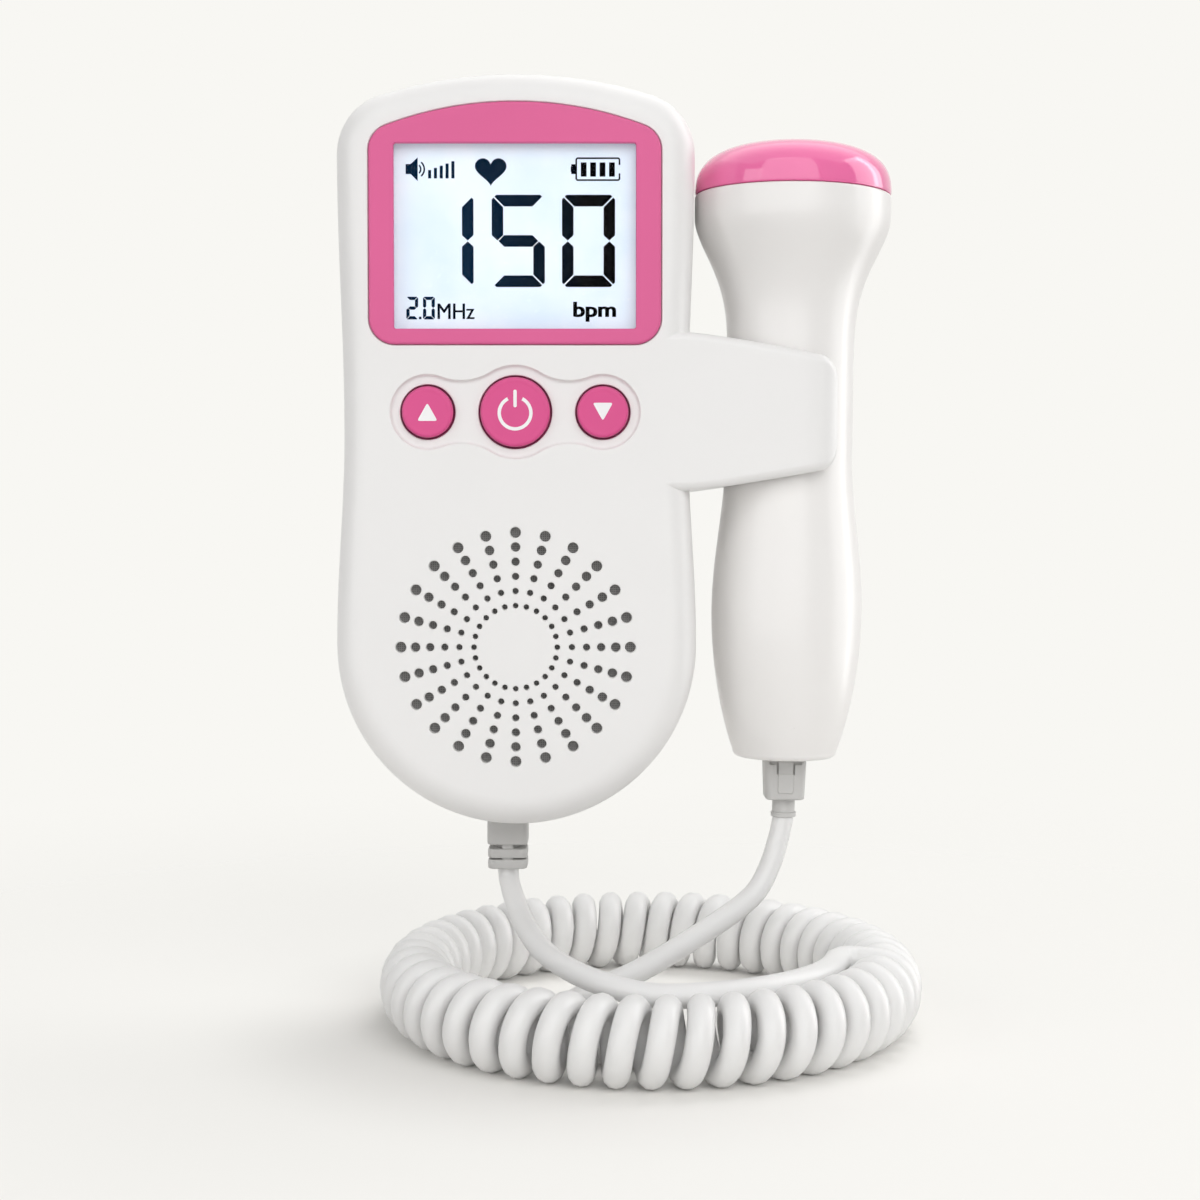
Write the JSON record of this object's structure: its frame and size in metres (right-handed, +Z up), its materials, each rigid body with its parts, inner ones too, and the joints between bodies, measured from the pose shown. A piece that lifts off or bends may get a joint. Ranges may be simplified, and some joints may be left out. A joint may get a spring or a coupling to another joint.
{
  "type": "fetal doppler monitor",
  "caption": "Hand-held fetal heart monitor: upright display unit with a side clip that holds a domed probe, joined by a curly cord coiled in a ring below.",
  "frame": {"origin": "on the unit's flat back face, on its middle line, 111 mm above the bottom of the unit and 15.6 mm above the battery door", "axes": "+Z up along the upright unit; +Y out of its back, so the display faces -Y; +X towards the clip and probe, which is the viewer's right"},
  "size_m": [0.1061, 0.1038, 0.172],
  "materials": {
    "white_shell": "fine satin",
    "pink_trim": "gloss",
    "pink_cap": "high gloss",
    "pink_button": "satin",
    "clear_window": "clear gloss",
    "lcd_glass": "gloss",
    "backlight": "satin",
    "black_plastic": "satin",
    "switch_plastic": "matt",
    "green_board": "solder mask",
    "black_chip": "matt",
    "grey_cloth": "woven",
    "pressed_steel": "plated",
    "speaker_paper": "matt",
    "magnet": "plated",
    "cell_jacket": "printed film",
    "spring_steel": "plated",
    "screw_steel": "zinc plated",
    "grey_relief": "satin",
    "white_cord": "satin jacket",
    "black_rubber": "matt",
    "crystal": "silvered",
    "backing": "filled resin"
  },
  "bodies": {
    "unit": {"front_shell": "white_shell", "rear_cover": "white_shell", "display_bezel": "pink_trim", "display_window": "clear_window", "lcd_panel": "lcd_glass", "lcd_backlight": "backlight", "switch_bodies": "switch_plastic", "main_board": "green_board", "board_parts": "black_chip", "grille_cloth": "grey_cloth", "speaker_frame": "pressed_steel", "speaker_cone": "speaker_paper", "speaker_magnet": "magnet", "battery_cells": "cell_jacket", "battery_contacts": "spring_steel", "case_screws": "screw_steel", "headphone_socket": "black_plastic", "unit_strain_relief": "grey_relief", "unit_cord": "white_cord", "curly_cord": "white_cord", "probe_cord": "white_cord"},
    "probe": {"probe_strain_relief": "grey_relief", "probe_shell_front": "white_shell", "probe_shell_rear": "white_shell", "probe_cap": "pink_cap", "probe_seal_ring": "black_rubber", "probe_crystals": "crystal", "crystal_backing": "backing", "probe_board": "green_board"},
    "power_key": {"power_button": "pink_button", "power_switch_stem": "black_plastic"},
    "up_key": {"up_button": "pink_button", "up_switch_stem": "black_plastic"},
    "down_key": {"down_button": "pink_button", "down_switch_stem": "black_plastic"},
    "door": {"battery_door": "white_shell"}
  },
  "joints": [
    {"name": "probe_pull", "type": "slide", "parent": "unit", "child": "probe", "axis": [1, 0, 0], "range_m": [0, 0.04]},
    {"name": "power_press", "type": "slide", "parent": "unit", "child": "power_key", "axis": [0, 1, 0], "range_m": [0, 0.0008], "stiffness_N_per_m": 800, "springref_m": -0.0005},
    {"name": "up_press", "type": "slide", "parent": "unit", "child": "up_key", "axis": [0, 1, 0], "range_m": [0, 0.0008], "stiffness_N_per_m": 800, "springref_m": -0.0005},
    {"name": "down_press", "type": "slide", "parent": "unit", "child": "down_key", "axis": [0, 1, 0], "range_m": [0, 0.0008], "stiffness_N_per_m": 800, "springref_m": -0.0005},
    {"name": "door_swing", "type": "hinge", "parent": "unit", "child": "door", "pos_m": [0, -0.0009, -0.0165], "axis": [1, 0, 0], "range_deg": [0, 90]}
  ]
}
